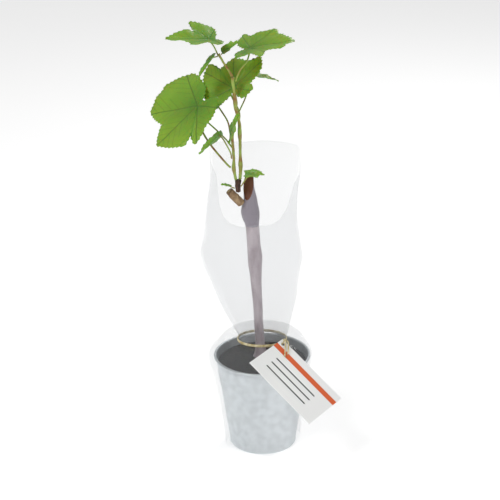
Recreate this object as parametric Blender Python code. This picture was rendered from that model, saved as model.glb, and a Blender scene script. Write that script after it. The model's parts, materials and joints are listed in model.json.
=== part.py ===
"""A young grafted grapevine in a small galvanised bucket, gift-wrapped in a clear film bag.

The bag is slipped over the bucket from below, tied above the rim with a strand of raffia and left
open above the tie as a tall collar round the waxed stem. A plain card tag hangs from the knot.
Metres, +Z up, +X to the right of the viewer. The origin is the centre of the bucket's underside.
"""

import math
from collections import namedtuple

import bmesh
import bpy
from mathutils import Matrix, Vector

MM = 0.001
GAP = 0.3 * MM

# Bucket
BUCKET_HEIGHT = 0.100
RIM_RADIUS = 0.0500
FOOT_RADIUS = 0.0350
WALL_TOP_RADIUS = 0.0482
WALL_FOOT_RADIUS = 0.0342
SHEET_THICKNESS = 0.0009
BEAD_RADIUS = 0.0014
SEAM_HEIGHT = 0.0030
RING_HEIGHTS = (0.0810, 0.0766, 0.0710)
RING_RELIEF = 0.0006
RING_HALF_WIDTH = 0.0012
ROUND_SIDES = 48

# Soil
SOIL_TOP = 0.0920
SOIL_MOUND = 0.0016

# Waxed stem: its flat foot on the soil, and the plane of the slanting graft cut at its tip
TRUNK_FOOT = SOIL_TOP + SOIL_MOUND + GAP
TRUNK_SIDES = 18
CUT_CENTRE = (-0.0118, 0.0010, 0.2855)
CUT_NORMAL = (-0.42, -0.80, 0.40)

# Film bag
FILM_THICKNESS = 0.0005
FILM_SIDES = 42
NECK_HEIGHT = 0.1170
NECK_HALF_WIDTH = 0.0235
NECK_HALF_DEPTH = 0.0170
NECK_PLEATS = 14
UNDER_RING_HEIGHT = 0.1137
SHOULDER_HEIGHT = 0.1185
SHOULDER_FRONT_HEIGHT = 0.1065
BAG_FOOT_CLEARANCE = 0.0004
BAG_CORNER_ANGLES = (12, 98, 200, 276)
BAG_CORNER_REACH = 0.0048
BAG_CORNER_WIDTH = 13
MOUTH_HEIGHT = 0.3190

# Raffia
RAFFIA_HEIGHT = 0.0032
RAFFIA_THICKNESS = 0.0009
STRAND_RADIUS = 0.0007
KNOT_RADIUS = 0.0026
KNOT_CENTRE = (0.0222, -0.0139, 0.1195)

# Tag
TAG_LENGTH = 0.085
TAG_WIDTH = 0.054
TAG_THICKNESS = 0.0008
TAG_HOLE_RADIUS = 0.0021
TAG_CENTRE = (0.0325, -0.0565, 0.0966)
TAG_LONG_EDGE = (0.679, -0.482, -0.554)
TAG_SHORT_EDGE = (0.6275, 0.773, 0.097)

# Leaves
LEAF_THICKNESS = 0.013
PETIOLE_SIDES = 6
MIDRIB_FOOT = ((0.0, 0.9), (0.22, 0.5))
TOOTH_PITCH = 9.0
TOOTH_HEIGHT = 0.28
EDGE_BULGE = 0.05

# Half outlines of a leaf, as length from the stalk and degrees off the midrib: tip, sinus, side lobe, sinus,
# foot lobe and the notch at the stalk
HALVES = {
    "broad": ((0.95, 0), (0.68, 27), (0.95, 54), (1.04, 89), (0.93, 110), (0.83, 121), (0.40, 147), (0.14, 168)),
    "short": ((0.95, 0), (0.86, 37), (0.61, 43), (0.87, 50), (0.61, 66), (0.45, 95), (0.38, 146), (0.14, 168)),
    "full": ((0.80, 0), (0.60, 31), (0.92, 38), (0.89, 50), (0.81, 61), (0.71, 125), (0.45, 144), (0.14, 168)),
    "tucked": ((0.80, 0), (0.69, 32), (0.95, 44), (0.81, 60), (0.41, 89), (0.51, 102), (0.42, 141), (0.14, 168)),
    "lobed": ((1.00, 0), (0.88, 18), (0.60, 38), (0.86, 58), (0.42, 78), (0.62, 110), (0.34, 146), (0.16, 160)),
    "cut": ((1.00, 0), (0.75, 18), (0.58, 35), (0.38, 42), (0.81, 60), (0.54, 85), (0.46, 109), (0.20, 145)),
    "ragged": ((1.00, 0), (0.82, 14), (0.71, 33), (0.84, 52), (0.52, 96), (0.74, 107), (0.39, 141), (0.14, 165)),
    "split": ((1.00, 0), (0.89, 28), (0.54, 44), (0.86, 64), (0.42, 78), (0.59, 112), (0.30, 150), (0.14, 165)),
    "plain": ((1.00, 0), (0.70, 26), (0.80, 46), (0.56, 82), (0.60, 112), (0.30, 148)),
    "slim": ((1.00, 0), (0.74, 12), (0.52, 32), (0.36, 75), (0.20, 125)),
}

Leaf = namedtuple("Leaf", "junction length heading droop roll fold curl left right width")
Mass = namedtuple("Mass", "name limb foot radius route leaves")


def mm(*values):
    return Vector(values) * MM


def smooth_step(value):
    value = min(max(value, 0.0), 1.0)
    return value * value * (3 - 2 * value)


def blend(first, second, share):
    return first + (second - first) * share


def station(rows, height):
    """The row of sizes at this height, read smoothly between the rows given."""
    for low, high in zip(rows, rows[1:]):
        if height <= high[0]:
            share = smooth_step((height - low[0]) / (high[0] - low[0]))
            return [blend(a, b, share) for a, b in zip(low, high)]
    return list(rows[-1])


def smooth_route(points, steps):
    """Points along a smooth curve through the points given, each a position with a radius."""
    ends = [points[0] * 2 - points[1], *points, points[-1] * 2 - points[-2]]
    route = []
    for a, b, c, d in zip(ends, ends[1:], ends[2:], ends[3:]):
        for step in range(steps):
            t = step / steps
            bend = a * 2 - b * 5 + c * 4 - d
            twist = b * 3 - a - c * 3 + d
            route.append((b * 2 + (c - a) * t + bend * t * t + twist * t**3) * 0.5)
    return route + [points[-1].copy()]


def bent_grid(rows, columns, place):
    """A grid whose point at row i and column j is moved to place(i, j), with meeting points made one."""
    bm = bmesh.new()
    bmesh.ops.create_grid(bm, x_segments=columns - 1, y_segments=rows - 1, size=1)
    bm.verts.ensure_lookup_table()
    for number, vert in enumerate(bm.verts):
        vert.co = place(number // columns, number % columns)
    bmesh.ops.remove_doubles(bm, verts=bm.verts, dist=1e-6)
    return bm


def closed_up(bm):
    bmesh.ops.holes_fill(bm, edges=[edge for edge in bm.edges if edge.is_boundary], sides=0)
    bmesh.ops.recalc_face_normals(bm, faces=bm.faces)
    return bm


def make(name, bm, finish, smooth_degrees=40):
    """An object of this mesh, in the scene, with its material."""
    mesh = bpy.data.meshes.new(name)
    bm.to_mesh(mesh)
    bm.free()
    mesh.shade_smooth()
    mesh.set_sharp_from_angle(angle=math.radians(smooth_degrees))
    mesh.materials.append(finish)
    obj = bpy.data.objects.new(name, mesh)
    bpy.context.scene.collection.objects.link(obj)
    obj.parent = bpy.data.objects["plant"]
    return obj


def material(name, colour, roughness, metallic=0.0, alpha=1.0):
    finish = bpy.data.materials.new(name)
    finish.use_nodes = True
    shader = finish.node_tree.nodes["Principled BSDF"]
    shader.inputs["Base Color"].default_value = (*colour, 1)
    shader.inputs["Roughness"].default_value = roughness
    shader.inputs["Metallic"].default_value = metallic
    shader.inputs["Alpha"].default_value = alpha
    return finish


def fuse(pieces):
    """The first piece, joined with all the others by one Boolean union on a collection."""
    first, *others = pieces
    if others:
        gathered = bpy.data.collections.new(first.name + "_pieces")
        bpy.context.scene.collection.children.link(gathered)
        for piece in others:
            bpy.context.scene.collection.objects.unlink(piece)
            gathered.objects.link(piece)
        union = first.modifiers.new("union", "BOOLEAN")
        union.operation = "UNION"
        union.operand_type = "COLLECTION"
        union.collection = gathered
        union.solver = "MANIFOLD"
    bpy.context.view_layer.update()
    evaluated = first.evaluated_get(bpy.context.evaluated_depsgraph_get())
    joined = bpy.data.meshes.new_from_object(evaluated)
    first.modifiers.clear()
    first.data = joined
    for piece in others:
        bpy.data.objects.remove(piece)
    if others:
        bpy.data.collections.remove(gathered)
    return first


def turned(name, profile, finish):
    """A solid turned about +Z from a profile of (radius, height) that starts and ends on the axis."""
    bm = bmesh.new()
    verts = [bm.verts.new((radius, 0, height)) for radius, height in profile]
    for a, b in zip(verts, verts[1:]):
        bm.edges.new((a, b))
    bmesh.ops.spin(
        bm,
        geom=bm.verts[:] + bm.edges[:],
        axis=(0, 0, 1),
        cent=(0, 0, 0),
        angle=math.tau,
        steps=ROUND_SIDES,
        use_merge=True,
    )
    bmesh.ops.remove_doubles(bm, verts=bm.verts, dist=1e-6)
    bmesh.ops.recalc_face_normals(bm, faces=bm.faces)
    return make(name, bm, finish, 30)


def wall_radius(height):
    return blend(WALL_FOOT_RADIUS, WALL_TOP_RADIUS, height / BUCKET_HEIGHT)


def bucket_profile():
    """Outside from the centre of the underside up to the rolled rim, then down the inside."""
    outside = [(0, 0), (FOOT_RADIUS - 0.0006, 0), (FOOT_RADIUS, 0.0006)]
    outside += [(FOOT_RADIUS, SEAM_HEIGHT - 0.0006), (wall_radius(SEAM_HEIGHT) + 0.0001, SEAM_HEIGHT)]
    for height in sorted(RING_HEIGHTS):
        for offset, relief in ((-RING_HALF_WIDTH, 0), (0, RING_RELIEF), (RING_HALF_WIDTH, 0)):
            outside.append((wall_radius(height + offset) + relief, height + offset))
    bead_centre = (RIM_RADIUS - BEAD_RADIUS, BUCKET_HEIGHT - BEAD_RADIUS)
    outside.append((wall_radius(0.0965), 0.0965))
    for turn in range(-45, 196, 40):
        angle = math.radians(turn)
        outside.append(
            (bead_centre[0] + BEAD_RADIUS * math.cos(angle), bead_centre[1] + BEAD_RADIUS * math.sin(angle))
        )
    inside = [(wall_radius(height) - SHEET_THICKNESS, height) for height in (0.0955, SHEET_THICKNESS)]
    return outside + inside + [(0, SHEET_THICKNESS)]


def build_bucket(finish):
    return turned("bucket", bucket_profile(), finish)


def build_soil(finish):
    clearance = SHEET_THICKNESS + GAP + 0.0002
    foot = SHEET_THICKNESS + GAP
    profile = [(0, foot), (wall_radius(foot) - clearance, foot)]
    profile.append((wall_radius(SOIL_TOP) - clearance, SOIL_TOP - 0.001))
    for share in (0.8, 0.5, 0.25):
        radius = wall_radius(SOIL_TOP) * share
        profile.append((radius, SOIL_TOP + SOIL_MOUND * (1 - share) * 0.8))
    profile.append((0, SOIL_TOP + SOIL_MOUND))
    return turned("soil", profile, finish)


def tube(route, sides):
    """A closed tube along (position, radius) pairs, with flat ends square to the route."""
    directions = []
    for number in range(len(route)):
        before = route[max(number - 1, 0)][0]
        after = route[min(number + 1, len(route) - 1)][0]
        directions.append((after - before).normalized())
    side = directions[0].orthogonal().normalized()
    sides_of = []
    for direction in directions:
        side = (side - direction * side.dot(direction)).normalized()
        sides_of.append((side, direction.cross(side)))

    def place(i, j):
        angle = math.tau * j / sides
        across, over = sides_of[i]
        return route[i][0] + (across * math.cos(angle) + over * math.sin(angle)) * route[i][1]

    return closed_up(bent_grid(len(route), sides + 1, place))


def limb_route(rows, steps=3):
    """Smooth route through rows of x, y, z and radius, all in millimetres."""
    points = [Vector(row) * MM for row in rows]
    return [(point.to_3d(), point[3]) for point in smooth_route(points, steps)]


def trunk_rows():
    """Height, x, y and radius of the stem: flare at the soil, thin lower stem, node, graft swelling and tip."""
    return (
        (TRUNK_FOOT, -0.0014, 0.0060, 0.0078),
        (0.0980, -0.0015, 0.0060, 0.0062),
        (0.1080, -0.0018, 0.0057, 0.0052),
        (0.1360, -0.0034, 0.0047, 0.0045),
        (0.1650, -0.0048, 0.0038, 0.0052),
        (0.1850, -0.0057, 0.0032, 0.0058),
        (0.1970, -0.0062, 0.0030, 0.0070),
        (0.2080, -0.0064, 0.0028, 0.0074),
        (0.2200, -0.0072, 0.0024, 0.0068),
        (0.2410, -0.0087, 0.0020, 0.0068),
        (0.2470, -0.0095, 0.0018, 0.0082),
        (0.2550, -0.0104, 0.0015, 0.0093),
        (0.2620, -0.0106, 0.0012, 0.0084),
        (0.2700, -0.0104, 0.0010, 0.0066),
        (0.2800, -0.0115, 0.0010, 0.0056),
        (0.2980, -0.0124, 0.0012, 0.0053),
    )


def trunk_route():
    points = [Vector((x, y, height, radius)) for height, x, y, radius in trunk_rows()]
    return [(point.to_3d(), point[3]) for point in smooth_route(points, 2)]


def build_trunk(finish):
    """The waxed stem with its flat cut at the soil and the slanting graft cut at its tip."""
    route = trunk_route()

    def place(i, j):
        angle = math.tau * j / TRUNK_SIDES
        centre, radius = route[i]
        return centre + Vector((math.cos(angle), math.sin(angle), 0)) * radius

    bm = bent_grid(len(route), TRUNK_SIDES + 1, place)
    closed_up(bm)
    bmesh.ops.bisect_plane(
        bm,
        geom=bm.verts[:] + bm.edges[:] + bm.faces[:],
        plane_co=CUT_CENTRE,
        plane_no=CUT_NORMAL,
        clear_outer=True,
    )
    return make("trunk", closed_up(bm), finish, 50)


LIMBS = {
    "spur": (
        (-19.4, -3.2, 266.4, 4.0),
        (-22.5, -5.0, 270.5, 4.3),
        (-26.5, -7.2, 275.5, 4.2),
        (-30.5, -9.0, 281.0, 3.9),
    ),
    "shoot_base": (
        (-21.9, -8.5, 280.5, 2.4),
        (-22.2, -8.8, 284.5, 2.9),
        (-22.2, -9.0, 288.0, 2.9),
        (-21.8, -9.0, 292.5, 3.1),
    ),
    "left_shoot": (
        (-24.0, -9.2, 293.0, 1.4),
        (-25.2, -9.4, 299.0, 1.5),
        (-26.0, -9.6, 305.5, 2.1),
        (-25.7, -9.4, 312.0, 1.4),
        (-26.0, -9.0, 322.0, 1.4),
        (-26.8, -8.4, 333.0, 1.4),
        (-26.8, -7.4, 342.0, 2.0),
    ),
    "right_shoot": (
        (-20.1, -8.2, 293.0, 1.5),
        (-19.4, -8.0, 302.0, 1.7),
        (-19.3, -7.8, 308.5, 2.3),
        (-19.4, -7.4, 316.0, 1.5),
        (-19.4, -6.8, 330.0, 1.5),
        (-19.6, -6.2, 338.0, 2.1),
        (-20.0, -5.6, 350.0, 1.5),
        (-22.8, -5.0, 362.0, 1.6),
        (-23.4, -4.6, 368.5, 2.3),
        (-24.0, -5.4, 379.0, 1.5),
        (-25.3, -6.0, 388.0, 1.5),
        (-25.4, -6.0, 394.5, 1.7),
    ),
    "upper_left_shoot": (
        (-25.9, -5.8, 395.3, 1.3),
        (-29.8, -5.4, 402.0, 1.1),
        (-35.6, -4.6, 411.5, 1.0),
        (-38.5, -4.0, 417.0, 1.4),
    ),
}


def build_limbs(finishes):
    """Spur, dark shoot base and green shoots. Each starts 0.3 mm clear of the one below it."""
    for name, rows in LIMBS.items():
        make(name, tube(limb_route(rows), 10), finishes[name])


def lobe_outline(leaf):
    """Outline of a grape leaf in its own plane: x along the midrib, y to the left, unit length to the tip."""
    outline = []
    for side, shape in ((1, HALVES[leaf.left]), (-1, HALVES[leaf.right])):
        marks = []
        for radius, degrees in shape:
            angle = math.radians(degrees)
            marks.append(Vector((radius * math.cos(angle), side * leaf.width * radius * math.sin(angle))))
        run = [marks[0]]
        for start, end in zip(marks, marks[1:]):
            run += toothed(start, end, TOOTH_PITCH / leaf.length, side)
        outline.append(run)
    left, right = outline
    return right[:0:-1] + left


def toothed(start, end, pitch, side):
    """Points from start to end along a slightly bulging edge with forward-pointing teeth."""
    along = end - start
    teeth = max(1, round(along.length / pitch))
    outward = (Vector((along.y, -along.x)) * side).normalized()
    points = []
    for tooth in range(teeth):
        for share, height in ((0.35, TOOTH_HEIGHT), (1.0, 0.0)):
            t = (tooth + share) / teeth
            bulge = EDGE_BULGE * along.length * math.sin(math.pi * t)
            points.append(start + along * t + outward * (bulge + height * pitch))
    return points


def leaf_frame(leaf):
    """Directions of the midrib, the left side and the upper face."""
    heading, droop, roll = (math.radians(value) for value in (leaf.heading, leaf.droop, leaf.roll))
    midrib = Vector(
        (math.cos(heading) * math.cos(droop), math.sin(heading) * math.cos(droop), -math.sin(droop))
    )
    level = Vector((-math.sin(heading), math.cos(heading), 0))
    left = Matrix.Rotation(roll, 3, midrib) @ level
    return midrib, left, midrib.cross(left)


def leaf_point(leaf, frame, x, y):
    """Place of a point of the leaf's plane on the folded, drooping blade."""
    midrib, left, up = frame
    fold = math.radians(leaf.fold)
    across = y * math.cos(fold)
    rise = abs(y) * math.sin(fold) - leaf.curl * (x * abs(x) + 0.5 * y * y)
    return mm(*leaf.junction) + (midrib * x + left * across + up * rise) * leaf.length * MM


def build_leaf(name, leaf, finish):
    outline = lobe_outline(leaf)
    frame = leaf_frame(leaf)
    rings = (0.0, 0.55, 1.0)

    def place(i, j):
        point = outline[j % len(outline)] * rings[i]
        return leaf_point(leaf, frame, point.x, point.y)

    bm = bent_grid(len(rings), len(outline) + 1, place)
    bmesh.ops.recalc_face_normals(bm, faces=bm.faces)
    blade = make(name, bm, finish)
    shell = blade.modifiers.new("thickness", "SOLIDIFY")
    shell.thickness = max(LEAF_THICKNESS * leaf.length, 0.35) * MM
    shell.offset = 0
    return blade


def build_petiole(name, start, route, radius, leaf, finish):
    """Leaf stalk and the thick foot of the midrib, both sunk in the underside of the blade."""
    frame = leaf_frame(leaf)
    up = frame[2]
    sink = up * (LEAF_THICKNESS * leaf.length * MM * 0.25)
    end = leaf_point(leaf, frame, 0.03, 0) - sink
    midrib = [(leaf_point(leaf, frame, place, 0) - sink, radius * MM * size) for place, size in MIDRIB_FOOT]
    points = [start, *(mm(*point) for point in route), end]
    rows = [Vector((*point, radius * MM)) for point in points]
    path = [(point.to_3d(), point[3]) for point in smooth_route(rows, 3)]
    return [make(name, tube(line, PETIOLE_SIDES), finish) for line in (path, midrib)]


def limb_side(limb, height, toward, radius):
    """Start of a stalk on the side of a limb: clear of its surface, on the side that the stalk leaves to."""
    route = limb_route(LIMBS[limb])
    nearest = min(range(1, len(route) - 1), key=lambda number: abs(route[number][0].z - height * MM))
    centre, limb_radius = route[nearest]
    axis = (route[nearest + 1][0] - route[nearest - 1][0]).normalized()
    away = toward - centre
    outward = (away - axis * away.dot(axis)).normalized()
    slope = away.normalized().dot(outward)
    clear = limb_radius + GAP + 0.0001 + radius * MM * math.sqrt(max(1 - slope * slope, 0))
    return centre + outward * clear


MASSES = (
    Mass(
        "leaves_lower_left",
        "left_shoot",
        305.5,
        1.0,
        ((-34.0, -8.5, 310.5), (-48.0, -5.0, 327.5), (-57.0, 0.0, 342.5), (-59.2, -4.5, 359.0)),
        (Leaf((-59.5, -7.0, 367.3), 57.8, -152.5, 35.5, -9, 0, 0.04, "short", "broad", 1.0),),
    ),
    Mass(
        "leaves_middle_left",
        "left_shoot",
        342.0,
        0.8,
        ((-31.0, -2.0, 349.5), (-37.5, 8.0, 358.0)),
        (Leaf((-41.0, 14.0, 362.0), 21, 175, 35, -10, 6, 0.10, "plain", "plain", 0.9),),
    ),
    Mass(
        "leaves_centre",
        "right_shoot",
        368.5,
        0.9,
        ((-25.2, 1.2, 374.0),),
        (Leaf((-25.5, 6.5, 380.7), 42.6, 88.3, -43.5, -19, 4, 0.04, "full", "tucked", 1.0),),
    ),
    Mass(
        "leaves_top_left",
        "upper_left_shoot",
        417.0,
        0.7,
        ((-43.0, -2.0, 424.0),),
        (Leaf((-47.3, 0.0, 430.3), 41.1, 188.0, -4.0, -10, 12, 0.03, "lobed", "cut", 1.0),),
    ),
    Mass(
        "leaves_folded_left",
        "upper_left_shoot",
        414.5,
        0.6,
        (),
        (Leaf((-43.0, -3.5, 414.0), 29, -154, 46, 19, 12, 0.06, "slim", "slim", 1.0),),
    ),
    Mass(
        "leaves_shoot_tip",
        "upper_left_shoot",
        415.5,
        0.6,
        (),
        (Leaf((-33.5, -2.0, 418.5), 17, 5, -35, 20, 12, 0.05, "slim", "slim", 1.0),),
    ),
    Mass(
        "leaves_top_right",
        "right_shoot",
        390.5,
        0.8,
        ((-18.5, -4.0, 400.5), (-12.0, -2.0, 408.5), (-9.3, 1.5, 415.5)),
        (Leaf((-8.7, 4.0, 420.2), 43.5, -10.7, -13.2, 11, 6, 0.03, "ragged", "split", 1.0),),
    ),
    Mass(
        "leaves_right",
        "right_shoot",
        360.0,
        0.7,
        ((-18.0, 2.0, 362.5), (-13.0, 16.0, 370.0), (-9.5, 26.0, 380.0)),
        (Leaf((-7.0, 31.0, 387.5), 27, -8, 8, -3, 8, 0.10, "slim", "plain", 0.8),),
    ),
    Mass(
        "leaves_hanging",
        "left_shoot",
        338.0,
        0.8,
        (),
        (Leaf((-27.5, -12.5, 342.5), 25, -50, -60, 60, 8, 0.03, "slim", "plain", 0.8),),
    ),
    Mass(
        "leaves_edge_on",
        "left_shoot",
        316.0,
        0.7,
        ((-29.0, -10.5, 321.5), (-35.5, -9.5, 334.0)),
        (Leaf((-38.5, -8.5, 338.5), 28, -158, 34, 50, 6, 0.04, "slim", "slim", 0.8),),
    ),
    Mass(
        "leaves_low_right",
        "shoot_base",
        287.0,
        0.6,
        ((-15.0, -13.0, 294.0),),
        (Leaf((-11.2, -14.5, 300.0), 15, -2, -2, 2, 6, 0.08, "plain", "plain", 1.1),),
    ),
    Mass(
        "leaves_bud",
        "shoot_base",
        285.0,
        0.6,
        (),
        (Leaf((-30.0, -11.5, 287.0), 9, 165, -10, 10, 8, 0.05, "slim", "slim", 1.2),),
    ),
    Mass(
        "leaves_back_left",
        "left_shoot",
        326.0,
        0.8,
        ((-35.0, 4.0, 332.0), (-54.0, 20.0, 345.0)),
        (Leaf((-69.0, 27.0, 351.0), 29, 135, 30, -4, 6, 0.06, "plain", "plain", 1.0),),
    ),
    Mass(
        "leaves_back_centre",
        "right_shoot",
        350.0,
        0.8,
        ((-20.0, 8.0, 357.0), (-27.0, 22.0, 368.0)),
        (Leaf((-31.0, 33.0, 379.0), 26, 84, 28, 0, 6, 0.06, "plain", "plain", 1.0),),
    ),
)


def build_masses(leaf_finish, stalk_finish):
    """Each mass is a stalk with its leaf or leaves, fused into one solid."""
    for mass in MASSES:
        leaf = mass.leaves[0]
        toward = mm(*(mass.route[0] if mass.route else leaf.junction))
        start = limb_side(mass.limb, mass.foot, toward, mass.radius)
        pieces = [build_leaf(mass.name, leaf, leaf_finish)]
        pieces += build_petiole("stalk", start, mass.route, mass.radius, leaf, stalk_finish)
        for number, extra in enumerate(mass.leaves[1:]):
            pieces.append(build_leaf(f"extra_{number}", extra, leaf_finish))
        fuse(pieces)


def pleats(angle, count, depth):
    return depth * math.cos(count * angle)


def skirt_standoff(angle):
    """How far the bag stands off the bucket, towards each side: loose at the left, tight in front."""
    left = max(-math.cos(angle), 0) ** 1.5
    right = max(math.cos(angle), 0) ** 2
    back = max(math.sin(angle), 0) ** 2
    return (1.0 + 5.0 * left + 1.6 * right + 2.0 * back) * MM


def build_skirt(finish):
    """The bag below the tie: round the bucket, over its rim and in to the neck."""
    corners = [math.radians(degrees) for degrees in BAG_CORNER_ANGLES]
    spread = math.radians(BAG_CORNER_WIDTH)

    def outside(angle):
        off = skirt_standoff(angle)
        corner = 0.0
        for centre in corners:
            away = (angle - centre + math.pi) % math.tau - math.pi
            corner = max(corner, math.exp(-((away / spread) ** 2)))
        front = max(-math.sin(angle), 0) ** 0.7
        shoulder = blend(SHOULDER_HEIGHT, SHOULDER_FRONT_HEIGHT, front)
        direction = Vector((math.cos(angle), math.sin(angle), 0))
        neck = Vector((math.cos(angle) * NECK_HALF_WIDTH, math.sin(angle) * NECK_HALF_DEPTH, 0))
        fold = 1 + pleats(angle, NECK_PLEATS, 0.025)
        rows = [
            direction * (FOOT_RADIUS + 0.0009 + BAG_CORNER_REACH * corner + off * 0.15),
            direction * (wall_radius(0.030) + 0.0006 + off * 0.6 + BAG_CORNER_REACH * corner * 0.25),
            direction * (wall_radius(0.070) + 0.0012 + off * 0.8),
            direction * (RIM_RADIUS + 0.0002 + off),
            direction * (RIM_RADIUS + 0.0002 + off * 0.8),
            direction * blend(0.0420, 0.0400, front),
            neck.lerp(direction * 0.040, 0.35) * (1 + pleats(angle, NECK_PLEATS, 0.04)),
            neck * fold,
            neck * fold,
        ]
        heights = [BAG_FOOT_CLEARANCE, 0.030, 0.070, 0.0965, 0.1030, shoulder]
        heights += [UNDER_RING_HEIGHT + 0.0004, UNDER_RING_HEIGHT, NECK_HEIGHT - GAP / 2]
        return [Vector((row.x, row.y, height)) for row, height in zip(rows, heights)]

    columns = [outside(math.tau * j / FILM_SIDES) for j in range(FILM_SIDES)]
    bm = bent_grid(len(columns[0]), FILM_SIDES + 1, lambda i, j: columns[j % FILM_SIDES][i])
    return film_sheet("film_skirt", bm, finish)


COLLAR_ROWS = (
    (NECK_HEIGHT + GAP / 2, -0.0235, 0.0235, 0.0170, 1.00),
    (0.1280, -0.0300, 0.0275, 0.0205, 0.95),
    (0.1550, -0.0410, 0.0340, 0.0265, 0.80),
    (0.1800, -0.0510, 0.0370, 0.0300, 0.66),
    (0.2100, -0.0608, 0.0410, 0.0315, 0.56),
    (0.2500, -0.0555, 0.0375, 0.0320, 0.50),
    (0.2850, -0.0500, 0.0365, 0.0325, 0.46),
    (0.3200, -0.0490, 0.0395, 0.0325, 0.44),
)


def mouth_height(angle):
    """Height of the bag's cut edge: level at the back, dipping low in front of the stem."""
    front = max(-math.sin(angle), 0)
    corner = math.sqrt(0.5)
    side_drop = blend(0.013, 0.026, 0.5 + 0.5 * math.cos(angle))
    drop = side_drop * min(front / corner, 1)
    if front > corner:
        drop = blend(side_drop, 0.066, ((front - corner) / (1 - corner)) ** 0.8)
    return MOUTH_HEIGHT - drop - 0.002 * math.cos(angle)


def build_collar(finish):
    """The open bag above the tie, a tall tube that widens to a four-cornered mouth."""
    rows = 9

    def place(i, j):
        angle = math.tau * (j % FILM_SIDES) / FILM_SIDES
        share = i / (rows - 1)
        height = blend(NECK_HEIGHT + GAP / 2, mouth_height(angle), share**1.1)
        _, low_x, high_x, depth, corner = station(COLLAR_ROWS, height)
        across = math.copysign(abs(math.cos(angle)) ** corner, math.cos(angle))
        over = math.copysign(abs(math.sin(angle)) ** corner, math.sin(angle))
        centre = (low_x + high_x) / 2
        fold = 1 + pleats(angle, NECK_PLEATS, 0.025) * (1 - share) ** 4
        return Vector((centre + across * (high_x - low_x) / 2 * fold, over * depth * fold, height))

    return film_sheet("film_collar", bent_grid(rows, FILM_SIDES + 1, place), finish)


def film_sheet(name, bm, finish):
    bmesh.ops.recalc_face_normals(bm, faces=bm.faces)
    sheet = make(name, bm, finish, 60)
    shell = sheet.modifiers.new("thickness", "SOLIDIFY")
    shell.thickness = FILM_THICKNESS
    shell.offset = -1
    return sheet


def build_ring(finish):
    """The strand of raffia round the neck of the bag, a little higher at the right."""
    sides = 48

    def place(i, j):
        angle = math.tau * j / sides
        section = math.tau * i / 6
        grow = 0.0010 + GAP + RAFFIA_THICKNESS / 2 * (1 + math.cos(section))
        height = NECK_HEIGHT + RAFFIA_HEIGHT / 2 * math.sin(section)
        return Vector(
            (
                math.cos(angle) * (NECK_HALF_WIDTH + grow),
                math.sin(angle) * (NECK_HALF_DEPTH + grow),
                height,
            )
        )

    bm = bent_grid(7, sides + 1, place)
    bmesh.ops.recalc_face_normals(bm, faces=bm.faces)
    return make("raffia_ring", bm, finish)


KNOT_STRANDS = {
    "tag_loop": ((22.4, -17.2, 123.8), (21.8, -20.9, 122.6), (20.8, -19.9, 120.2), (20.1, -19.1, 118.6)),
    "long_tail": ((23.4, -17.5, 122.4), (23.6, -21.5, 121.4), (23.0, -29.0, 117.4), (22.3, -37.0, 113.6)),
    "short_tail": ((25.2, -17.5, 122.0), (26.5, -21.5, 120.4), (26.3, -28.0, 116.8), (25.2, -33.5, 114.4)),
}


def build_knot(finish):
    """The knot of the raffia, with the loop that holds the tag and two tails that fall over the tag's face."""
    bm = bmesh.new()
    bmesh.ops.create_icosphere(bm, subdivisions=2, radius=KNOT_RADIUS, matrix=Matrix.Translation(KNOT_CENTRE))
    pieces = [make("raffia_knot", bm, finish)]
    for name, points in KNOT_STRANDS.items():
        places = [Vector(KNOT_CENTRE), *(mm(*point) for point in points)]
        rows = [Vector((*place, STRAND_RADIUS)) for place in places]
        path = [(row.to_3d(), row[3]) for row in smooth_route(rows, 3)]
        pieces.append(make(name, tube(path, PETIOLE_SIDES), finish))
    fuse(pieces)


def build_tag(finish):
    """A plain card with a punched hole near the corner that hangs at the knot."""
    long_edge = Vector(TAG_LONG_EDGE).normalized()
    short_edge = Vector(TAG_SHORT_EDGE)
    short_edge = (short_edge - long_edge * short_edge.dot(long_edge)).normalized()
    turn = Matrix((long_edge, short_edge, long_edge.cross(short_edge))).transposed().to_4x4()
    bm = bmesh.new()
    bmesh.ops.create_cube(bm, size=1, matrix=Matrix.Diagonal((TAG_LENGTH, TAG_WIDTH, TAG_THICKNESS, 1)))
    tag = make("tag", bm, finish)
    hole = bmesh.new()
    centre = Matrix.Translation((-TAG_LENGTH / 2 + 0.0045, TAG_WIDTH / 2 - 0.0045, 0))
    bmesh.ops.create_cone(
        hole,
        cap_ends=True,
        segments=16,
        radius1=TAG_HOLE_RADIUS,
        radius2=TAG_HOLE_RADIUS,
        depth=TAG_THICKNESS * 4,
        matrix=centre,
    )
    punch = make("tag_punch", hole, finish)
    punch.hide_render = True
    punch.display_type = "WIRE"
    cut = tag.modifiers.new("hole", "BOOLEAN")
    cut.operation = "DIFFERENCE"
    cut.object = punch
    for piece in (tag, punch):
        piece.matrix_world = Matrix.Translation(TAG_CENTRE) @ turn
    return tag


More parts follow.
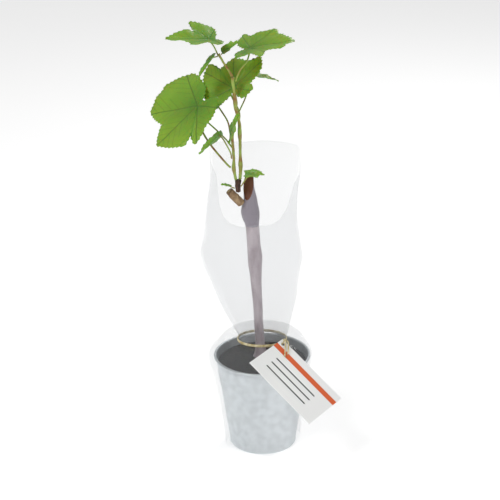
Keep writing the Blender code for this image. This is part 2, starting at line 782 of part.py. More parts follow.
def main():
    for obj in list(bpy.data.objects):
        bpy.data.objects.remove(obj)
    plant = bpy.data.objects.new("plant", None)
    bpy.context.scene.collection.objects.link(plant)
    zinc = material("galvanised", (0.62, 0.66, 0.68), 0.38, metallic=0.9)
    earth = material("potting_soil", (0.035, 0.024, 0.018), 0.95)
    wax = material("waxed_bark", (0.50, 0.42, 0.44), 0.5)
    cut_wood = material("cut_wood", (0.36, 0.22, 0.11), 0.7)
    dark_bark = material("dark_bark", (0.10, 0.045, 0.03), 0.8)
    stem = material("green_stem", (0.36, 0.50, 0.12), 0.5)
    leaf = material("leaf", (0.25, 0.52, 0.05), 0.5)
    film = material("clear_film", (0.92, 0.94, 0.95), 0.12, alpha=0.25)
    raffia = material("raffia", (0.78, 0.68, 0.40), 0.6)
    card = material("card", (0.93, 0.92, 0.90), 0.5)
    build_bucket(zinc)
    build_soil(earth)
    build_trunk(wax)
    finishes = {name: stem for name in LIMBS} | {"spur": cut_wood, "shoot_base": dark_bark}
    build_limbs(finishes)
    build_masses(leaf, stem)
    build_skirt(film)
    build_collar(film)
    build_ring(raffia)
    build_knot(raffia)
    build_tag(card)


main()
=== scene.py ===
"""A young potted grapevine in a galvanised bucket, wrapped in clear film, standing in a plain white studio."""

import json
import math
from collections import namedtuple

import bmesh
import bpy
from mathutils import Matrix, Vector, noise

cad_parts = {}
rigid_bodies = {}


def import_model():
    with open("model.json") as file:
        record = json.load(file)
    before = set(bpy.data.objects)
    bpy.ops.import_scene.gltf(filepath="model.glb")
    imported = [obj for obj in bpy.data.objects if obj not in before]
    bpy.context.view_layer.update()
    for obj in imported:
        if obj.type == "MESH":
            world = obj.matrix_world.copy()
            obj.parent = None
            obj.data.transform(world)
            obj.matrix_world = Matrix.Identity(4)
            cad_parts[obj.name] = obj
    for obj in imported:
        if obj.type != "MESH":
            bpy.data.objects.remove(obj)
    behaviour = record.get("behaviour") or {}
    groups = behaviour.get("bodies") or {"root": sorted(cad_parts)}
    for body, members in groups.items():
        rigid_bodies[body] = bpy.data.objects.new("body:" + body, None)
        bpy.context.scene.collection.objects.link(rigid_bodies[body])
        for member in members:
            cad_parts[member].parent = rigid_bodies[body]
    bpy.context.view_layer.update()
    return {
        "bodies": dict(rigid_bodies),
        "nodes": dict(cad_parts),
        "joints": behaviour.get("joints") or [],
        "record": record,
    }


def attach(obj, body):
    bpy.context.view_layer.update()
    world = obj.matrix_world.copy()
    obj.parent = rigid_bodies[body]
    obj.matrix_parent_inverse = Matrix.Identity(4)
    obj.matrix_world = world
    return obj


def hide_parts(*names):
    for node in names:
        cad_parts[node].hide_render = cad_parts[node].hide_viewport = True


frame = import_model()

bl_info = {
    "name": "Potted grapevine",
    "version": (1, 0, 0),
    "blender": (4, 5, 0),
    "location": "View3D > Sidebar > Vine",
    "description": "Dresses a wrapped potted grapevine and its studio",
    "category": "Object",
}

TOOTH_PITCH = 4.6
TOOTH_HEIGHT = 0.30
PETIOLE_SIDES = 12
BLADE_RINGS = 10
VEIN_DEGREES = (0, 52, -52, 112, -112)
TAG_CENTRE = (0.0325, -0.0565, 0.0966)
TAG_LONG_EDGE = (0.679, -0.482, -0.554)
TAG_SHORT_EDGE = (0.6275, 0.773, 0.097)
CAMERA_PLACE = (-0.0112, -1.2525, 0.7189)
CAMERA_AIM = (-0.0112, 0.0, 0.2151)
CAMERA_ROLL_DEGREES = -0.76
CAMERA_LENS = 96.85
GRAFT_FOOT = 0.2410
CUT_CENTRE = (-0.0118, 0.0010, 0.2855)
CUT_NORMAL = (-0.425, -0.809, 0.405)
CUT_DEPTH = -0.0008

MM = 0.001
GAP = 0.3 * MM
HALVES = {
    "broad": ((0.95, 0), (0.68, 27), (0.95, 54), (1.04, 89), (0.93, 110), (0.83, 121), (0.40, 147), (0.14, 168)),
    "short": ((0.95, 0), (0.86, 37), (0.61, 43), (0.87, 50), (0.61, 66), (0.45, 95), (0.38, 146), (0.14, 168)),
    "full": ((0.80, 0), (0.60, 31), (0.92, 38), (0.89, 50), (0.81, 61), (0.71, 125), (0.45, 144), (0.14, 168)),
    "tucked": ((0.80, 0), (0.69, 32), (0.95, 44), (0.81, 60), (0.41, 89), (0.51, 102), (0.42, 141), (0.14, 168)),
    "lobed": ((1.00, 0), (0.88, 18), (0.60, 38), (0.86, 58), (0.42, 78), (0.62, 110), (0.34, 146), (0.16, 160)),
    "cut": ((1.00, 0), (0.75, 18), (0.58, 35), (0.38, 42), (0.81, 60), (0.54, 85), (0.46, 109), (0.20, 145)),
    "ragged": ((1.00, 0), (0.82, 14), (0.71, 33), (0.84, 52), (0.52, 96), (0.74, 107), (0.39, 141), (0.14, 165)),
    "split": ((1.00, 0), (0.89, 28), (0.54, 44), (0.86, 64), (0.42, 78), (0.59, 112), (0.30, 150), (0.14, 165)),
    "plain": ((1.00, 0), (0.70, 26), (0.80, 46), (0.56, 82), (0.60, 112), (0.30, 148)),
    "slim": ((1.00, 0), (0.74, 12), (0.52, 32), (0.36, 75), (0.20, 125)),
}
Leaf = namedtuple("Leaf", "junction length heading droop roll fold curl left right width")
Mass = namedtuple("Mass", "name limb foot radius route leaves")
MIDRIB_FOOT = ((0.0, 0.9), (0.22, 0.5))
EDGE_BULGE = 0.05


def mm(*values):
    return Vector(values) * MM


def smooth_route(points, steps):
    """Points along a smooth curve through the points given, each a position with a radius."""
    ends = [points[0] * 2 - points[1], *points, points[-1] * 2 - points[-2]]
    route = []
    for a, b, c, d in zip(ends, ends[1:], ends[2:], ends[3:]):
        for step in range(steps):
            t = step / steps
            bend = a * 2 - b * 5 + c * 4 - d
            twist = b * 3 - a - c * 3 + d
            route.append((b * 2 + (c - a) * t + bend * t * t + twist * t**3) * 0.5)
    return route + [points[-1].copy()]


def bent_grid(rows, columns, place):
    """A grid whose point at row i and column j is moved to place(i, j), with meeting points made one."""
    bm = bmesh.new()
    bmesh.ops.create_grid(bm, x_segments=columns - 1, y_segments=rows - 1, size=1)
    bm.verts.ensure_lookup_table()
    for number, vert in enumerate(bm.verts):
        vert.co = place(number // columns, number % columns)
    bmesh.ops.remove_doubles(bm, verts=bm.verts, dist=1e-6)
    return bm


def closed_up(bm):
    bmesh.ops.holes_fill(bm, edges=[edge for edge in bm.edges if edge.is_boundary], sides=0)
    bmesh.ops.recalc_face_normals(bm, faces=bm.faces)
    return bm


def tube(route, sides):
    """A closed tube along (position, radius) pairs, with flat ends square to the route."""
    directions = []
    for number in range(len(route)):
        before = route[max(number - 1, 0)][0]
        after = route[min(number + 1, len(route) - 1)][0]
        directions.append((after - before).normalized())
    side = directions[0].orthogonal().normalized()
    sides_of = []
    for direction in directions:
        side = (side - direction * side.dot(direction)).normalized()
        sides_of.append((side, direction.cross(side)))

    def place(i, j):
        angle = math.tau * j / sides
        across, over = sides_of[i]
        return route[i][0] + (across * math.cos(angle) + over * math.sin(angle)) * route[i][1]

    return closed_up(bent_grid(len(route), sides + 1, place))


def limb_route(rows, steps=3):
    """Smooth route through rows of x, y, z and radius, all in millimetres."""
    points = [Vector(row) * MM for row in rows]
    return [(point.to_3d(), point[3]) for point in smooth_route(points, steps)]


LIMBS = {
    "spur": (
        (-19.4, -3.2, 266.4, 4.0),
        (-22.5, -5.0, 270.5, 4.3),
        (-26.5, -7.2, 275.5, 4.2),
        (-30.5, -9.0, 281.0, 3.9),
    ),
    "shoot_base": (
        (-21.9, -8.5, 280.5, 2.4),
        (-22.2, -8.8, 284.5, 2.9),
        (-22.2, -9.0, 288.0, 2.9),
        (-21.8, -9.0, 292.5, 3.1),
    ),
    "left_shoot": (
        (-24.0, -9.2, 293.0, 1.4),
        (-25.2, -9.4, 299.0, 1.5),
        (-26.0, -9.6, 305.5, 2.1),
        (-25.7, -9.4, 312.0, 1.4),
        (-26.0, -9.0, 322.0, 1.4),
        (-26.8, -8.4, 333.0, 1.4),
        (-26.8, -7.4, 342.0, 2.0),
    ),
    "right_shoot": (
        (-20.1, -8.2, 293.0, 1.5),
        (-19.4, -8.0, 302.0, 1.7),
        (-19.3, -7.8, 308.5, 2.3),
        (-19.4, -7.4, 316.0, 1.5),
        (-19.4, -6.8, 330.0, 1.5),
        (-19.6, -6.2, 338.0, 2.1),
        (-20.0, -5.6, 350.0, 1.5),
        (-22.8, -5.0, 362.0, 1.6),
        (-23.4, -4.6, 368.5, 2.3),
        (-24.0, -5.4, 379.0, 1.5),
        (-25.3, -6.0, 388.0, 1.5),
        (-25.4, -6.0, 394.5, 1.7),
    ),
    "upper_left_shoot": (
        (-25.9, -5.8, 395.3, 1.3),
        (-29.8, -5.4, 402.0, 1.1),
        (-35.6, -4.6, 411.5, 1.0),
        (-38.5, -4.0, 417.0, 1.4),
    ),
}


def toothed(start, end, pitch, side):
    """Points from start to end along a slightly bulging edge with forward-pointing teeth."""
    along = end - start
    teeth = max(1, round(along.length / pitch))
    outward = (Vector((along.y, -along.x)) * side).normalized()
    points = []
    for tooth in range(teeth):
        for share, height in ((0.35, TOOTH_HEIGHT), (1.0, 0.0)):
            t = (tooth + share) / teeth
            bulge = EDGE_BULGE * along.length * math.sin(math.pi * t)
            points.append(start + along * t + outward * (bulge + height * pitch))
    return points


def lobe_outline(leaf):
    """Outline of a grape leaf in its own plane: x along the midrib, y to the left, unit length to the tip."""
    outline = []
    for side, shape in ((1, HALVES[leaf.left]), (-1, HALVES[leaf.right])):
        marks = []
        for radius, degrees in shape:
            angle = math.radians(degrees)
            marks.append(Vector((radius * math.cos(angle), side * leaf.width * radius * math.sin(angle))))
        run = [marks[0]]
        for start, end in zip(marks, marks[1:]):
            run += toothed(start, end, TOOTH_PITCH / leaf.length, side)
        outline.append(run)
    left, right = outline
    return right[:0:-1] + left


def leaf_frame(leaf):
    """Directions of the midrib, the left side and the upper face."""
    heading, droop, roll = (math.radians(value) for value in (leaf.heading, leaf.droop, leaf.roll))
    midrib = Vector(
        (math.cos(heading) * math.cos(droop), math.sin(heading) * math.cos(droop), -math.sin(droop))
    )
    level = Vector((-math.sin(heading), math.cos(heading), 0))
    left = Matrix.Rotation(roll, 3, midrib) @ level
    return midrib, left, midrib.cross(left)


def leaf_point(leaf, frame, x, y):
    """Place of a point of the leaf's plane on the folded, drooping blade."""
    midrib, left, up = frame
    fold = math.radians(leaf.fold)
    across = y * math.cos(fold)
    rise = abs(y) * math.sin(fold) - leaf.curl * (x * abs(x) + 0.5 * y * y)
    return mm(*leaf.junction) + (midrib * x + left * across + up * rise) * leaf.length * MM


def limb_side(limb, height, toward, radius):
    """Start of a stalk on the side of a limb: clear of its surface, on the side that the stalk leaves to."""
    route = limb_route(LIMBS[limb])
    nearest = min(range(1, len(route) - 1), key=lambda number: abs(route[number][0].z - height * MM))
    centre, limb_radius = route[nearest]
    axis = (route[nearest + 1][0] - route[nearest - 1][0]).normalized()
    away = toward - centre
    outward = (away - axis * away.dot(axis)).normalized()
    slope = away.normalized().dot(outward)
    clear = limb_radius + GAP + 0.0001 + radius * MM * math.sqrt(max(1 - slope * slope, 0))
    return centre + outward * clear


MASSES = (
    Mass(
        "leaves_lower_left",
        "left_shoot",
        305.5,
        1.0,
        ((-34.0, -8.5, 310.5), (-48.0, -5.0, 327.5), (-57.0, 0.0, 342.5), (-59.2, -4.5, 359.0)),
        (Leaf((-59.5, -7.0, 367.3), 57.8, -152.5, 35.5, -9, 0, 0.04, "short", "broad", 1.0),),
    ),
    Mass(
        "leaves_middle_left",
        "left_shoot",
        342.0,
        0.8,
        ((-31.0, -2.0, 349.5), (-37.5, 8.0, 358.0)),
        (Leaf((-41.0, 14.0, 362.0), 21, 175, 35, -10, 6, 0.10, "plain", "plain", 0.9),),
    ),
    Mass(
        "leaves_centre",
        "right_shoot",
        368.5,
        0.9,
        ((-25.2, 1.2, 374.0),),
        (Leaf((-25.5, 6.5, 380.7), 42.6, 88.3, -43.5, -19, 4, 0.04, "full", "tucked", 1.0),),
    ),
    Mass(
        "leaves_top_left",
        "upper_left_shoot",
        417.0,
        0.7,
        ((-43.0, -2.0, 424.0),),
        (Leaf((-47.3, 0.0, 430.3), 41.1, 188.0, -4.0, -10, 12, 0.03, "lobed", "cut", 1.0),),
    ),
    Mass(
        "leaves_folded_left",
        "upper_left_shoot",
        414.5,
        0.6,
        (),
        (Leaf((-43.0, -3.5, 414.0), 29, -154, 46, 19, 12, 0.06, "slim", "slim", 1.0),),
    ),
    Mass(
        "leaves_shoot_tip",
        "upper_left_shoot",
        415.5,
        0.6,
        (),
        (Leaf((-33.5, -2.0, 418.5), 17, 5, -35, 20, 12, 0.05, "slim", "slim", 1.0),),
    ),
    Mass(
        "leaves_top_right",
        "right_shoot",
        390.5,
        0.8,
        ((-18.5, -4.0, 400.5), (-12.0, -2.0, 408.5), (-9.3, 1.5, 415.5)),
        (Leaf((-8.7, 4.0, 420.2), 43.5, -10.7, -13.2, 11, 6, 0.03, "ragged", "split", 1.0),),
    ),
    Mass(
        "leaves_right",
        "right_shoot",
        360.0,
        0.7,
        ((-18.0, 2.0, 362.5), (-13.0, 16.0, 370.0), (-9.5, 26.0, 380.0)),
        (Leaf((-7.0, 31.0, 387.5), 27, -8, 8, -3, 8, 0.10, "slim", "plain", 0.8),),
    ),
    Mass(
        "leaves_hanging",
        "left_shoot",
        338.0,
        0.8,
        (),
        (Leaf((-27.5, -12.5, 342.5), 25, -50, -60, 60, 8, 0.03, "slim", "plain", 0.8),),
    ),
    Mass(
        "leaves_edge_on",
        "left_shoot",
        316.0,
        0.7,
        ((-29.0, -10.5, 321.5), (-35.5, -9.5, 334.0)),
        (Leaf((-38.5, -8.5, 338.5), 28, -158, 34, 50, 6, 0.04, "slim", "slim", 0.8),),
    ),
    Mass(
        "leaves_low_right",
        "shoot_base",
        287.0,
        0.6,
        ((-15.0, -13.0, 294.0),),
        (Leaf((-11.2, -14.5, 300.0), 15, -2, -2, 2, 6, 0.08, "plain", "plain", 1.1),),
    ),
    Mass(
        "leaves_bud",
        "shoot_base",
        285.0,
        0.6,
        (),
        (Leaf((-30.0, -11.5, 287.0), 9, 165, -10, 10, 8, 0.05, "slim", "slim", 1.2),),
    ),
    Mass(
        "leaves_back_left",
        "left_shoot",
        326.0,
        0.8,
        ((-35.0, 4.0, 332.0), (-54.0, 20.0, 345.0)),
        (Leaf((-69.0, 27.0, 351.0), 29, 135, 30, -4, 6, 0.06, "plain", "plain", 1.0),),
    ),
    Mass(
        "leaves_back_centre",
        "right_shoot",
        350.0,
        0.8,
        ((-20.0, 8.0, 357.0), (-27.0, 22.0, 368.0)),
        (Leaf((-31.0, 33.0, 379.0), 26, 84, 28, 0, 6, 0.06, "plain", "plain", 1.0),),
    ),
)


class Nodes:
    """A material's node tree, with short calls for the nodes used here."""

    def __init__(self, name):
        self.material = bpy.data.materials.new(name)
        self.material.use_nodes = True
        self.tree = self.material.node_tree
        self.shader = self.tree.nodes["Principled BSDF"]

    def plug(self, value, socket):
        if isinstance(value, bpy.types.NodeSocket):
            self.tree.links.new(value, socket)
        else:
            socket.default_value = value

    def math(self, operation, first, second=0.0, clamp=False):
        node = self.tree.nodes.new("ShaderNodeMath")
        node.operation = operation
        node.use_clamp = clamp
        self.plug(first, node.inputs[0])
        self.plug(second, node.inputs[1])
        return node.outputs[0]

    def place(self, stretch=(1, 1, 1)):
        coordinates = self.tree.nodes.new("ShaderNodeTexCoord")
        mapping = self.tree.nodes.new("ShaderNodeMapping")
        mapping.inputs["Scale"].default_value = stretch
        self.tree.links.new(coordinates.outputs["Object"], mapping.inputs["Vector"])
        return mapping.outputs[0]

    def cloud(self, scale, detail=4.0, stretch=(1, 1, 1)):
        node = self.tree.nodes.new("ShaderNodeTexNoise")
        node.inputs["Scale"].default_value = scale
        node.inputs["Detail"].default_value = detail
        self.tree.links.new(self.place(stretch), node.inputs["Vector"])
        return node.outputs["Fac"]

    def ramp(self, value, *stops):
        node = self.tree.nodes.new("ShaderNodeValToRGB")
        ramp = node.color_ramp
        while len(ramp.elements) < len(stops):
            ramp.elements.new(0.5)
        for element, (position, colour) in zip(ramp.elements, stops):
            element.position = position
            element.color = (*colour, 1)
        self.plug(value, node.inputs[0])
        return node.outputs[0]

    def mix(self, share, first, second):
        node = self.tree.nodes.new("ShaderNodeMix")
        node.data_type = "RGBA"
        for value, name in ((share, "Factor"), (first, "A"), (second, "B")):
            sockets = [socket for socket in node.inputs if socket.name == name and socket.enabled]
            self.plug((*value, 1) if isinstance(value, tuple) else value, sockets[0])
        return next(socket for socket in node.outputs if socket.enabled)

    def bump(self, height, distance, strength=0.5):
        node = self.tree.nodes.new("ShaderNodeBump")
        node.inputs["Distance"].default_value = distance
        node.inputs["Strength"].default_value = strength
        self.tree.links.new(height, node.inputs["Height"])
        self.tree.links.new(node.outputs[0], self.shader.inputs["Normal"])

    def along(self, direction, centre):
        """Distance from a centre along a direction, on object coordinates."""
        node = self.tree.nodes.new("ShaderNodeVectorMath")
        node.operation = "DOT_PRODUCT"
        self.tree.links.new(self.place(), node.inputs[0])
        node.inputs[1].default_value = direction
        return self.math("SUBTRACT", node.outputs["Value"], Vector(direction).dot(Vector(centre)))

    def band(self, value, low, high):
        above = self.math("GREATER_THAN", value, low)
        return self.math("MULTIPLY", above, self.math("LESS_THAN", value, high))

    def finish(self, colour, roughness, **sockets):
        self.plug(colour, self.shader.inputs["Base Color"])
        self.plug(roughness, self.shader.inputs["Roughness"])
        for name, value in sockets.items():
            self.shader.inputs[name.replace("_", " ")].default_value = value
        return self.material


def leaf_veins(nodes, x, y):
    """One on the main veins and their side veins, in the leaf's own plane."""
    veins = 0.0
    for degrees in VEIN_DEGREES:
        angle = math.radians(degrees)
        over = nodes.math("ADD", nodes.math("MULTIPLY", x, -math.sin(angle)), nodes.math("MULTIPLY", y, math.cos(angle)))
        along = nodes.math("ADD", nodes.math("MULTIPLY", x, math.cos(angle)), nodes.math("MULTIPLY", y, math.sin(angle)))
        aside = nodes.math("ABSOLUTE", over)
        main = nodes.math("SUBTRACT", 1.0, nodes.math("DIVIDE", aside, 0.016), clamp=True)
        rhythm = nodes.math("FRACT", nodes.math("MULTIPLY", nodes.math("SUBTRACT", along, aside), 7.0))
        side = nodes.math("SUBTRACT", 1.0, nodes.math("DIVIDE", nodes.math("ABSOLUTE", nodes.math("SUBTRACT", rhythm, 0.5)), 0.09), clamp=True)
        near = nodes.math("LESS_THAN", aside, nodes.math("MULTIPLY", along, 0.42))
        side = nodes.math("MULTIPLY", nodes.math("MULTIPLY", side, near), 0.45)
        both = nodes.math("MAXIMUM", main, side)
        veins = nodes.math("MAXIMUM", veins, nodes.math("MULTIPLY", both, nodes.math("GREATER_THAN", along, 0.0)))
    return veins


def leaf_finish(colours):
    nodes = Nodes("leaf_blade")
    uv = nodes.tree.nodes.new("ShaderNodeUVMap")
    uv.uv_map = "leaf_plane"
    split = nodes.tree.nodes.new("ShaderNodeSeparateXYZ")
    nodes.tree.links.new(uv.outputs[0], split.inputs[0])
    x, y = split.outputs[0], split.outputs[1]
    veins = leaf_veins(nodes, x, y)
    reach = nodes.math("SQRT", nodes.math("ADD", nodes.math("MULTIPLY", x, x), nodes.math("MULTIPLY", y, y)))
    blend_in = nodes.math("ADD", reach, nodes.math("MULTIPLY", nodes.cloud(70.0), 0.5))
    blade = nodes.ramp(blend_in, (0.25, tuple(colours.leaf_centre)), (1.15, tuple(colours.leaf_edge)))
    nodes.bump(nodes.math("SUBTRACT", nodes.cloud(420.0), nodes.math("MULTIPLY", veins, 0.8)), 0.0004, 0.6)
    return nodes.finish(nodes.mix(veins, blade, tuple(colours.leaf_vein)), 0.42, Subsurface_Weight=0.15, Subsurface_Scale=0.004)


def stem_finish(colours):
    nodes = Nodes("green_shoot")
    colour = nodes.ramp(nodes.cloud(110.0), (0.42, tuple(colours.stem)), (0.68, (0.30, 0.10, 0.035)))
    nodes.bump(nodes.cloud(600.0, 4.0, (1, 1, 0.2)), 0.0003)
    return nodes.finish(colour, 0.45)


def wax_finish(colours):
    nodes = Nodes("waxed_bark_relief")
    colour = nodes.ramp(nodes.cloud(95.0, 8.0, (1, 1, 0.35)), (0.3, (0.24, 0.165, 0.18)), (0.62, tuple(colours.wax)))
    head = nodes.math("GREATER_THAN", nodes.along((0, 0, 1), (0, 0, GRAFT_FOOT)), 0.0)
    colour = nodes.mix(head, colour, (0.30, 0.27, 0.31))
    cut = nodes.math("GREATER_THAN", nodes.along(CUT_NORMAL, CUT_CENTRE), CUT_DEPTH)
    colour = nodes.mix(cut, colour, (0.14, 0.042, 0.015))
    nodes.bump(nodes.cloud(420.0, 8.0, (1, 1, 0.4)), 0.0008, 0.7)
    return nodes.finish(colour, 0.40)


def bark_finish(name, dark, light):
    nodes = Nodes(name)
    nodes.bump(nodes.cloud(500.0, 8.0, (1, 1, 0.3)), 0.0008, 0.8)
    return nodes.finish(nodes.ramp(nodes.cloud(240.0, 6.0, (1, 1, 0.3)), (0.35, dark), (0.65, light)), 0.75)


def zinc_finish(colours):
    nodes = Nodes("galvanised_sheet")
    zinc = tuple(colours.zinc)
    dull = tuple(0.88 * value for value in zinc)
    roughness = nodes.math("ADD", 0.26, nodes.math("MULTIPLY", nodes.cloud(60.0), 0.28))
    nodes.bump(nodes.cloud(45.0), 0.0006, 0.25)
    return nodes.finish(nodes.ramp(nodes.cloud(130.0, 6.0), (0.38, dull), (0.62, zinc)), roughness, Metallic=0.85)


def soil_finish():
    nodes = Nodes("crumbly_soil")
    nodes.bump(nodes.cloud(380.0, 8.0), 0.0016, 1.0)
    return nodes.finish(nodes.ramp(nodes.cloud(300.0, 8.0), (0.35, (0.004, 0.003, 0.002)), (0.7, (0.035, 0.022, 0.014))), 0.95)


def film_finish(name, opacity):
    nodes = Nodes(name)
    nodes.bump(nodes.cloud(48.0, 3.0), 0.0020, 0.8)
    return nodes.finish((0.58, 0.61, 0.64, 1), 0.05, Alpha=opacity)


def raffia_finish():
    nodes = Nodes("dry_raffia")
    nodes.bump(nodes.cloud(900.0, 4.0, (1, 1, 0.25)), 0.0003)
    return nodes.finish(nodes.ramp(nodes.cloud(320.0), (0.35, (0.52, 0.40, 0.16)), (0.62, (0.84, 0.76, 0.50))), 0.6)


def card_finish():
    """White card with a warm band and a few plain dark rules across it."""
    nodes = Nodes("tag_card")
    along = nodes.along(TAG_LONG_EDGE, TAG_CENTRE)
    over = nodes.along(TAG_SHORT_EDGE, TAG_CENTRE)
    colour = nodes.mix(nodes.band(over, 0.012, 0.0185), (0.97, 0.97, 0.96), (0.78, 0.13, 0.03))
    inside = nodes.band(along, -0.030, 0.024)
    for place in (0.002, -0.006, -0.014):
        rule = nodes.math("MULTIPLY", inside, nodes.band(over, place, place + 0.0016))
        colour = nodes.mix(rule, colour, (0.03, 0.03, 0.03))
    nodes.bump(nodes.cloud(900.0), 0.0001, 0.3)
    return nodes.finish(colour, 0.45)


def piece(name, bm, finish, nodes, sharp_degrees=40):
    """A finished piece of this mesh that stands for the nodes named."""
    mesh = bpy.data.meshes.new(name)
    bm.to_mesh(mesh)
    bm.free()
    mesh.shade_smooth()
    mesh.set_sharp_from_angle(angle=math.radians(sharp_degrees))
    mesh.materials.append(finish)
    obj = bpy.data.objects.new(name, mesh)
    bpy.context.scene.collection.objects.link(obj)
    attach(obj, "root")
    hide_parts(*nodes)
    return obj


def refined(node, cuts, size=0.0, pitch=1.0, stretch=(1, 1, 1)):
    """A copy of a node's solid with finer faces, roughened by a field that moves both sides of a wall alike."""
    bm = bmesh.new()
    bm.from_mesh(frame["nodes"][node].data)
    bmesh.ops.remove_doubles(bm, verts=bm.verts, dist=1e-6)
    if cuts:
        bmesh.ops.subdivide_edges(bm, edges=bm.edges, cuts=cuts, use_grid_fill=True)
    for vert in bm.verts:
        where = Vector(a * b for a, b in zip(vert.co, stretch)) / pitch
        vert.co += noise.noise_vector(where) * size
    return bm


def blade_mesh(leaf, sizes):
    """A thin toothed blade, raised between its veins, with its own plane kept as a UV map."""
    outline = lobe_outline(leaf)
    directions = leaf_frame(leaf)

    def place(i, j):
        point = outline[j % len(outline)] * (i / (BLADE_RINGS - 1))
        return Vector((point.x, point.y, 0))

    bm = bent_grid(BLADE_RINGS, len(outline) + 1, place)
    plane = bm.loops.layers.uv.new("leaf_plane")
    for face in bm.faces:
        for loop in face.loops:
            loop[plane].uv = loop.vert.co.xy
    for vert in bm.verts:
        x, y, _ = vert.co
        angle = math.atan2(y, x)
        swell = math.sin(angle * math.tau / math.radians(103)) ** 2 * (x * x + y * y) ** 0.5
        wave = noise.noise(Vector((x * 5, y * 5, leaf.length)))
        lift = directions[2] * (sizes.quilting * swell + sizes.waviness * wave * (abs(x) + abs(y)))
        vert.co = leaf_point(leaf, directions, x, y) + lift
    bmesh.ops.recalc_face_normals(bm, faces=bm.faces)
    return bm


def stalk_mesh(mass, leaf):
    """The round leaf stalk, from the side of its shoot to the foot of the blade."""
    toward = mm(*(mass.route[0] if mass.route else leaf.junction))
    start = limb_side(mass.limb, mass.foot, toward, mass.radius)
    end = leaf_point(leaf, leaf_frame(leaf), 0.03, 0)
    rows = [Vector((*point, mass.radius * MM)) for point in (start, *(mm(*row) for row in mass.route), end)]
    return tube([(row.to_3d(), row[3]) for row in smooth_route(rows, 8)], PETIOLE_SIDES)


class VineSizes(bpy.types.PropertyGroup):
    blade_thickness: bpy.props.FloatProperty(
        name="Blade thickness", description="Thickness of a leaf", default=0.0003, subtype="DISTANCE", unit="LENGTH")
    quilting: bpy.props.FloatProperty(
        name="Quilting", description="Rise of the blade between its veins", default=0.0012, subtype="DISTANCE", unit="LENGTH")
    waviness: bpy.props.FloatProperty(
        name="Waviness", description="Unevenness of the blade", default=0.0016, subtype="DISTANCE", unit="LENGTH")
    bark_relief: bpy.props.FloatProperty(
        name="Bark relief", description="Roughness of the waxed stem", default=0.0005, subtype="DISTANCE", unit="LENGTH")


class VineColours(bpy.types.PropertyGroup):
    leaf_centre: bpy.props.FloatVectorProperty(
        name="Leaf centre", description="Green near the stalk", default=(0.075, 0.27, 0.012), subtype="COLOR")
    leaf_edge: bpy.props.FloatVectorProperty(
        name="Leaf edge", description="Yellow-green towards the rim", default=(0.20, 0.46, 0.025), subtype="COLOR")
    leaf_vein: bpy.props.FloatVectorProperty(
        name="Veins", description="Darker green of the veins", default=(0.045, 0.17, 0.010), subtype="COLOR")
    stem: bpy.props.FloatVectorProperty(
        name="Shoot", description="Green of the young shoots", default=(0.34, 0.46, 0.08), subtype="COLOR")
    wax: bpy.props.FloatVectorProperty(
        name="Wax", description="Pinkish grey of the waxed stem", default=(0.52, 0.43, 0.46), subtype="COLOR")
    zinc: bpy.props.FloatVectorProperty(
        name="Zinc", description="Pale grey of the bucket", default=(0.74, 0.78, 0.80), subtype="COLOR")


class VINE_OT_leaves(bpy.types.Operator):
    """Grow the leaves and their stalks"""

    bl_idname = "vine.leaves"
    bl_label = "Leaves"

    def execute(self, context):
        blade = leaf_finish(context.scene.vine_colours)
        stalk = stem_finish(context.scene.vine_colours)
        for mass in MASSES:
            leaf = mass.leaves[0]
            sheet = piece(mass.name + "_blade", blade_mesh(leaf, context.scene.vine_sizes), blade, [mass.name], 70)
            shell = sheet.modifiers.new("thickness", "SOLIDIFY")
            shell.thickness = context.scene.vine_sizes.blade_thickness
            shell.offset = 0
            piece(mass.name + "_stalk", stalk_mesh(mass, leaf), stalk, [mass.name])
        return {"FINISHED"}


class VINE_OT_stems(bpy.types.Operator):
    """Give the stem, the spur and the shoots their bark"""

    bl_idname = "vine.stems"
    bl_label = "Stems"

    def execute(self, context):
        relief = context.scene.vine_sizes.bark_relief
        wax = wax_finish(context.scene.vine_colours)
        piece("trunk_bark", refined("trunk", 3, relief, 0.006, (1, 1, 0.4)), wax, ["trunk"], 50)
        green = stem_finish(context.scene.vine_colours)
        for node in ("left_shoot", "right_shoot", "upper_left_shoot"):
            piece(node + "_skin", refined(node, 1, 0.0002, 0.004), green, [node])
        dark = bark_finish("dark_shoot_base", (0.035, 0.016, 0.010), (0.16, 0.07, 0.04))
        piece("shoot_base_bark", refined("shoot_base", 2, 0.0004, 0.003), dark, ["shoot_base"])
        split_wood = bark_finish("split_spur_wood", (0.17, 0.09, 0.045), (0.45, 0.31, 0.17))
        piece("spur_bark", refined("spur", 2, 0.0005, 0.004), split_wood, ["spur"])
        return {"FINISHED"}


class VINE_OT_bucket(bpy.types.Operator):
    """Finish the galvanised bucket and its soil"""

    bl_idname = "vine.bucket"
    bl_label = "Bucket and soil"

    def execute(self, context):
        piece("bucket_sheet", refined("bucket", 0), zinc_finish(context.scene.vine_colours), ["bucket"], 30)
        piece("soil_crumbs", refined("soil", 5, 0.0004, 0.003), soil_finish(), ["soil"], 60)
        return {"FINISHED"}


class VINE_OT_wrap(bpy.types.Operator):
    """Make the clear film bag"""

    bl_idname = "vine.wrap"
    bl_label = "Film bag"

    def execute(self, context):
        skirt = film_finish("film_round_bucket", 0.09)
        collar = film_finish("film_open_collar", 0.12)
        piece("film_skirt_sheet", refined("film_skirt", 2, 0.0003, 0.012), skirt, ["film_skirt"], 60)
        piece("film_collar_sheet", refined("film_collar", 2, 0.0024, 0.022, (1, 1, 0.5)), collar, ["film_collar"], 60)
        return {"FINISHED"}


class VINE_OT_tie(bpy.types.Operator):
    """Tie the raffia and hang the card"""

    bl_idname = "vine.tie"
    bl_label = "Raffia and tag"

    def execute(self, context):
        raffia = raffia_finish()
        for node in ("raffia_ring", "raffia_knot"):
            piece(node + "_fibres", refined(node, 2, 0.00015, 0.002), raffia, [node])
        piece("tag_card_piece", refined("tag", 0), card_finish(), ["tag"], 30)
        return {"FINISHED"}


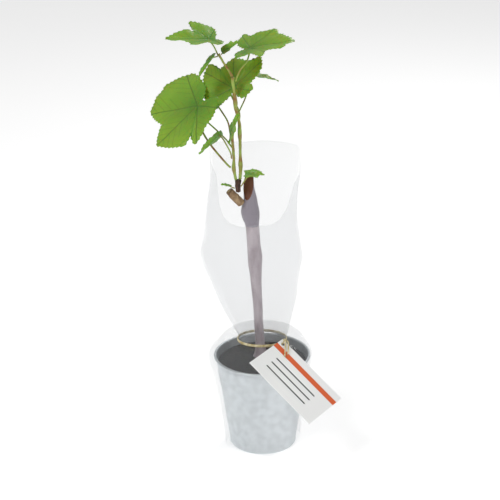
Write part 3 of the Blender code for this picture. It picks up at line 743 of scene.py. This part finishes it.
class VINE_OT_stage(bpy.types.Operator):
    """Set up the white floor, the lights and the camera"""

    bl_idname = "vine.stage"
    bl_label = "Stage"

    def execute(self, context):
        scene = context.scene
        scene.view_settings.view_transform = "Standard"
        world = bpy.data.worlds.new("studio")
        world.use_nodes = True
        world.node_tree.nodes["Background"].inputs["Color"].default_value = (1, 1, 1, 1)
        world.node_tree.nodes["Background"].inputs["Strength"].default_value = 0.40
        scene.world = world
        bm = bmesh.new()
        bmesh.ops.create_grid(bm, x_segments=1, y_segments=1, size=6)
        mesh = bpy.data.meshes.new("floor")
        bm.to_mesh(mesh)
        bm.free()
        paper = Nodes("white_paper")
        paper.shader.inputs["Emission Color"].default_value = (1, 1, 1, 1)
        mesh.materials.append(paper.finish((0.9, 0.9, 0.9, 1), 0.9, Emission_Strength=0.42))
        floor = bpy.data.objects.new("floor", mesh)
        scene.collection.objects.link(floor)
        lights = (
            ("key", (-0.9, -1.0, 1.6), 0.5, 11),
            ("fill", (1.2, -0.7, 0.9), 0.7, 3),
            ("rim", (0.5, 1.2, 1.3), 0.4, 6),
        )
        for name, place, size, power in lights:
            data = bpy.data.lights.new(name, "AREA")
            data.size = size
            data.energy = power
            lamp = bpy.data.objects.new(name, data)
            lamp.location = place
            lamp.rotation_euler = (Vector((0, 0, 0.2)) - Vector(place)).to_track_quat("-Z", "Y").to_euler()
            scene.collection.objects.link(lamp)
        data = bpy.data.cameras.new("camera")
        data.lens = CAMERA_LENS
        data.sensor_width = 36
        camera = bpy.data.objects.new("camera", data)
        look = (Vector(CAMERA_AIM) - Vector(CAMERA_PLACE)).to_track_quat("-Z", "Y").to_matrix().to_4x4()
        roll = Matrix.Rotation(math.radians(CAMERA_ROLL_DEGREES), 4, "Z")
        camera.matrix_world = Matrix.Translation(CAMERA_PLACE) @ look @ roll
        scene.collection.objects.link(camera)
        scene.camera = camera
        return {"FINISHED"}


PIECES = (VINE_OT_stage, VINE_OT_leaves, VINE_OT_stems, VINE_OT_bucket, VINE_OT_wrap, VINE_OT_tie)


class VINE_PT_panel(bpy.types.Panel):
    bl_label = "Potted grapevine"
    bl_idname = "VINE_PT_panel"
    bl_space_type = "VIEW_3D"
    bl_region_type = "UI"
    bl_category = "Vine"

    def draw(self, context):
        for operator in PIECES:
            self.layout.operator(operator.bl_idname)
        for group in (context.scene.vine_sizes, context.scene.vine_colours):
            for name in group.__annotations__:
                self.layout.prop(group, name)


CLASSES = (VineSizes, VineColours, *PIECES, VINE_PT_panel)


def register():
    for item in CLASSES:
        bpy.utils.register_class(item)
    bpy.types.Scene.vine_sizes = bpy.props.PointerProperty(type=VineSizes)
    bpy.types.Scene.vine_colours = bpy.props.PointerProperty(type=VineColours)


def unregister():
    del bpy.types.Scene.vine_colours
    del bpy.types.Scene.vine_sizes
    for item in reversed(CLASSES):
        bpy.utils.unregister_class(item)


def main():
    register()
    bpy.ops.vine.stage()
    bpy.ops.vine.leaves()
    bpy.ops.vine.stems()
    bpy.ops.vine.bucket()
    bpy.ops.vine.wrap()
    bpy.ops.vine.tie()
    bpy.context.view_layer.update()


if __name__ == "__main__":
    main()
